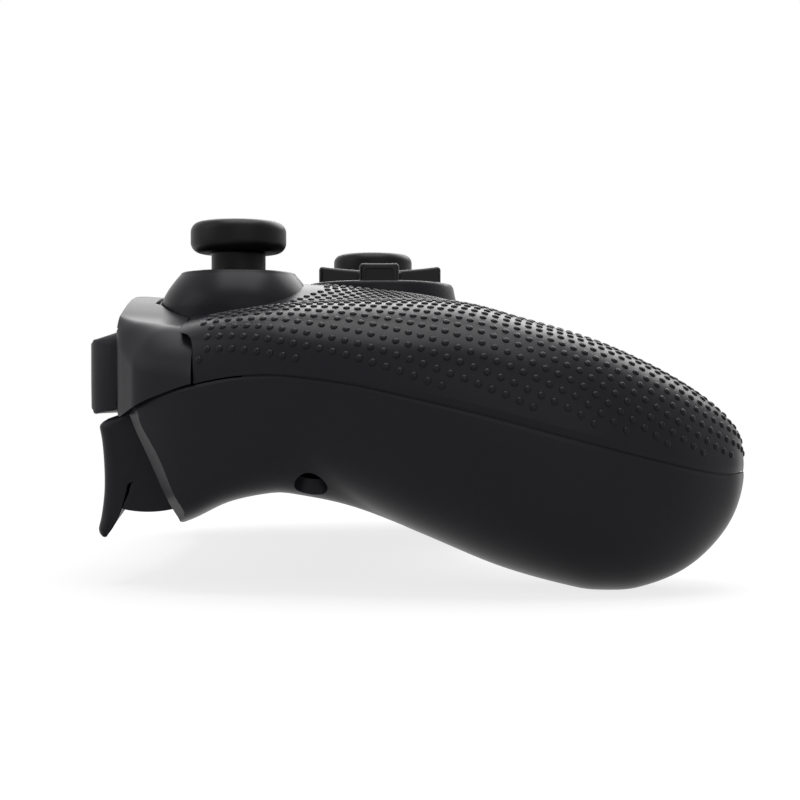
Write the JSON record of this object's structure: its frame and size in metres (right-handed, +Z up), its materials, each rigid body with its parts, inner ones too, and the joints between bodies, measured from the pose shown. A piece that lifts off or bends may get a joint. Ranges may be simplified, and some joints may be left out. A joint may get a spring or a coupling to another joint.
{
  "type": "gamepad controller",
  "caption": "Wireless two-grip gamepad with asymmetric thumbsticks, D-pad, face buttons, bumpers and pull triggers; dotted grips.",
  "frame": {"origin": "on the table plane under the middle of the pad, at the bottom centre of its bounding box", "axes": "+X to the player's right, +Y forward to the triggers, +Z up"},
  "size_m": [0.153, 0.1032, 0.0588],
  "materials": {
    "shell_plastic": "satin black, dotted on the grips",
    "bezel_plastic": "satin black",
    "control_plastic": "satin black",
    "button_plastic": "semi-gloss black, no marks",
    "stick_rubber": "matt black",
    "dome_rubber": "matt grey",
    "light_pipe": "clear white",
    "circuit_board": "green solder mask",
    "battery_wrap": "blue-grey wrap",
    "steel": "plated",
    "inner_plastic": "dark grey"
  },
  "bodies": {
    "housing": {"top_shell": "shell_plastic", "bottom_shell": "shell_plastic", "front_bezel": "bezel_plastic", "left_trigger_frame": "inner_plastic", "right_trigger_frame": "inner_plastic", "left_trigger_pin": "steel", "right_trigger_pin": "steel", "left_trigger_spring": "steel", "right_trigger_spring": "steel", "left_stick_base": "inner_plastic", "left_stick_sensors": "circuit_board", "right_stick_base": "inner_plastic", "right_stick_sensors": "circuit_board", "dpad_membrane": "dome_rubber", "face_membrane": "dome_rubber", "guide_ring": "light_pipe", "centre_membrane": "dome_rubber", "main_board": "circuit_board", "battery": "battery_wrap", "left_motor": "steel", "right_motor": "steel", "usb_port": "steel", "headset_jack": "inner_plastic", "bumper_switches": "inner_plastic", "trigger_sensors": "circuit_board", "shell_screws": "steel", "board_screws": "steel"},
    "left_bumper": {"left_bumper": "control_plastic"},
    "right_bumper": {"right_bumper": "control_plastic"},
    "left_trigger": {"left_trigger": "control_plastic"},
    "right_trigger": {"right_trigger": "control_plastic"},
    "left_stick_yoke": {"left_stick_gimbal": "inner_plastic"},
    "left_stick_rocker": {"left_stick_rocker": "inner_plastic"},
    "left_stick": {"left_stick_cap": "stick_rubber", "left_stick_shaft": "steel"},
    "right_stick_yoke": {"right_stick_gimbal": "inner_plastic"},
    "right_stick_rocker": {"right_stick_rocker": "inner_plastic"},
    "right_stick": {"right_stick_cap": "stick_rubber", "right_stick_shaft": "steel"},
    "dpad_carrier": {"dpad_carrier": "inner_plastic"},
    "dpad": {"dpad_cross": "button_plastic"},
    "button_north": {"button_north": "button_plastic"},
    "button_east": {"button_east": "button_plastic"},
    "button_south": {"button_south": "button_plastic"},
    "button_west": {"button_west": "button_plastic"},
    "back_button": {"back_button": "button_plastic"},
    "start_button": {"start_button": "button_plastic"},
    "guide_button": {"guide_button": "button_plastic"},
    "pair_button": {"pair_button": "button_plastic"},
    "left_weight": {"left_weight": "steel"},
    "right_weight": {"right_weight": "steel"}
  },
  "joints": [
    {"name": "left_stick_tilt_x", "type": "hinge", "parent": "housing", "child": "left_stick_yoke", "pos_m": [-0.038, 0.029, 0.0394], "axis": [1, 0, 0], "range_deg": [-12, 12], "stiffness_Nm_per_rad": 0.06},
    {"name": "left_stick_tilt_y", "type": "hinge", "parent": "left_stick_yoke", "child": "left_stick_rocker", "pos_m": [-0.038, 0.029, 0.0394], "axis": [0, 1, 0], "range_deg": [-12, 12], "stiffness_Nm_per_rad": 0.06},
    {"name": "left_stick_click", "type": "slide", "parent": "left_stick_rocker", "child": "left_stick", "axis": [0, 0, -1], "range_m": [0, 0.0004], "stiffness_N_per_m": 2500},
    {"name": "right_stick_tilt_x", "type": "hinge", "parent": "housing", "child": "right_stick_yoke", "pos_m": [0.021, 0.0076, 0.0394], "axis": [1, 0, 0], "range_deg": [-12, 12], "stiffness_Nm_per_rad": 0.06},
    {"name": "right_stick_tilt_y", "type": "hinge", "parent": "right_stick_yoke", "child": "right_stick_rocker", "pos_m": [0.021, 0.0076, 0.0394], "axis": [0, 1, 0], "range_deg": [-12, 12], "stiffness_Nm_per_rad": 0.06},
    {"name": "right_stick_click", "type": "slide", "parent": "right_stick_rocker", "child": "right_stick", "axis": [0, 0, -1], "range_m": [0, 0.0004], "stiffness_N_per_m": 2500},
    {"name": "dpad_rock_x", "type": "hinge", "parent": "housing", "child": "dpad_carrier", "pos_m": [-0.021, 0.0056, 0.0486], "axis": [1, 0, 0], "range_deg": [-4, 4], "stiffness_Nm_per_rad": 0.15},
    {"name": "dpad_rock_y", "type": "hinge", "parent": "dpad_carrier", "child": "dpad", "pos_m": [-0.021, 0.0056, 0.0486], "axis": [0, 1, 0], "range_deg": [-4, 4], "stiffness_Nm_per_rad": 0.15},
    {"name": "press_north", "type": "slide", "parent": "housing", "child": "button_north", "axis": [0, 0, -1], "range_m": [0, 0.0016], "stiffness_N_per_m": 600},
    {"name": "press_east", "type": "slide", "parent": "housing", "child": "button_east", "axis": [0, 0, -1], "range_m": [0, 0.0016], "stiffness_N_per_m": 600},
    {"name": "press_south", "type": "slide", "parent": "housing", "child": "button_south", "axis": [0, 0, -1], "range_m": [0, 0.0016], "stiffness_N_per_m": 600},
    {"name": "press_west", "type": "slide", "parent": "housing", "child": "button_west", "axis": [0, 0, -1], "range_m": [0, 0.0016], "stiffness_N_per_m": 600},
    {"name": "press_back", "type": "slide", "parent": "housing", "child": "back_button", "axis": [0, 0, -1], "range_m": [0, 0.0008], "stiffness_N_per_m": 800},
    {"name": "press_start", "type": "slide", "parent": "housing", "child": "start_button", "axis": [0, 0, -1], "range_m": [0, 0.0008], "stiffness_N_per_m": 800},
    {"name": "press_guide", "type": "slide", "parent": "housing", "child": "guide_button", "axis": [0, 0, -1], "range_m": [0, 0.0008], "stiffness_N_per_m": 800},
    {"name": "press_pair", "type": "slide", "parent": "housing", "child": "pair_button", "axis": [0, -1, 0], "range_m": [0, 0.0006], "stiffness_N_per_m": 800},
    {"name": "left_bumper_press", "type": "slide", "parent": "housing", "child": "left_bumper", "axis": [0, -1, 0], "range_m": [0, 0.001], "stiffness_N_per_m": 900},
    {"name": "left_trigger_pull", "type": "hinge", "parent": "housing", "child": "left_trigger", "pos_m": [-0.0449, 0.0417, 0.0298], "axis": [-1, 0, 0], "range_deg": [0, 18], "stiffness_Nm_per_rad": 0.35, "springref_deg": -20.05},
    {"name": "left_weight_spin", "type": "hinge", "parent": "housing", "child": "left_weight", "pos_m": [-0.06, -0.021, 0.018], "axis": [1, 0, 0], "continuous": true},
    {"name": "right_bumper_press", "type": "slide", "parent": "housing", "child": "right_bumper", "axis": [0, -1, 0], "range_m": [0, 0.001], "stiffness_N_per_m": 900},
    {"name": "right_trigger_pull", "type": "hinge", "parent": "housing", "child": "right_trigger", "pos_m": [0.0449, 0.0417, 0.0298], "axis": [-1, 0, 0], "range_deg": [0, 18], "stiffness_Nm_per_rad": 0.35, "springref_deg": -20.05},
    {"name": "right_weight_spin", "type": "hinge", "parent": "housing", "child": "right_weight", "pos_m": [0.06, -0.021, 0.018], "axis": [1, 0, 0], "continuous": true}
  ]
}
